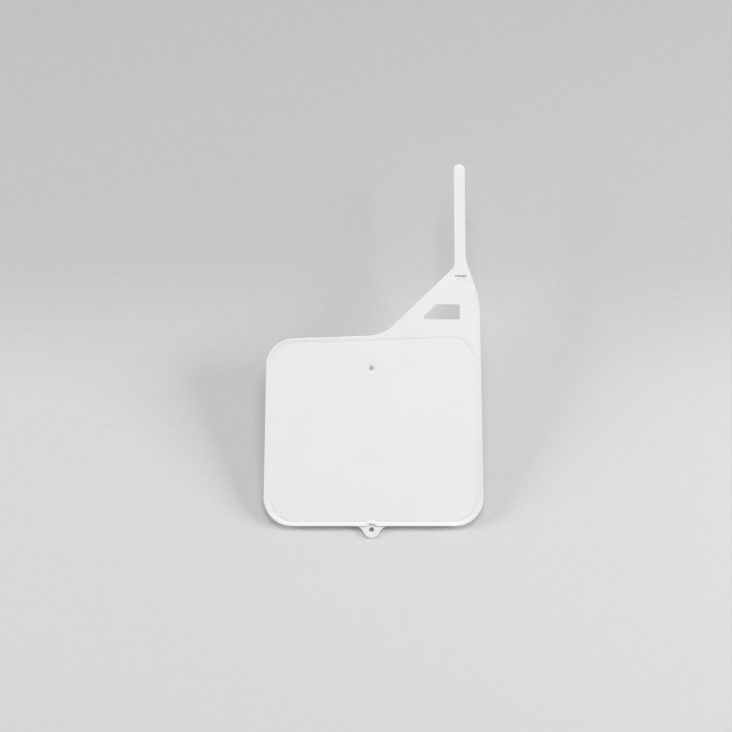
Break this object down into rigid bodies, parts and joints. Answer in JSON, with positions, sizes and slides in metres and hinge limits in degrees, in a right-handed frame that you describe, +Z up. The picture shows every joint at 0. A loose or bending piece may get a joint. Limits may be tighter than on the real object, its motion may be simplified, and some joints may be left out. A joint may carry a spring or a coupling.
{
  "type": "racing number board",
  "caption": "Moulded front number board with a sunk field, two bolt seats, an offset arm with a window, and a flat strap that threads back through a ramped slot to hold it on a handlebar.",
  "frame": {"origin": "axis of the lower bolt hole, on the plane that the board is bolted against", "axes": "+X to the right as seen from the front, the number face looks along -Y, +Z up towards the strap"},
  "size_m": [0.2856, 0.0095, 0.4851],
  "materials": {
    "white_plastic": "white polypropylene, satin as moulded"
  },
  "bodies": {
    "root": {"number_board": "white_plastic"}
  },
  "joints": []
}
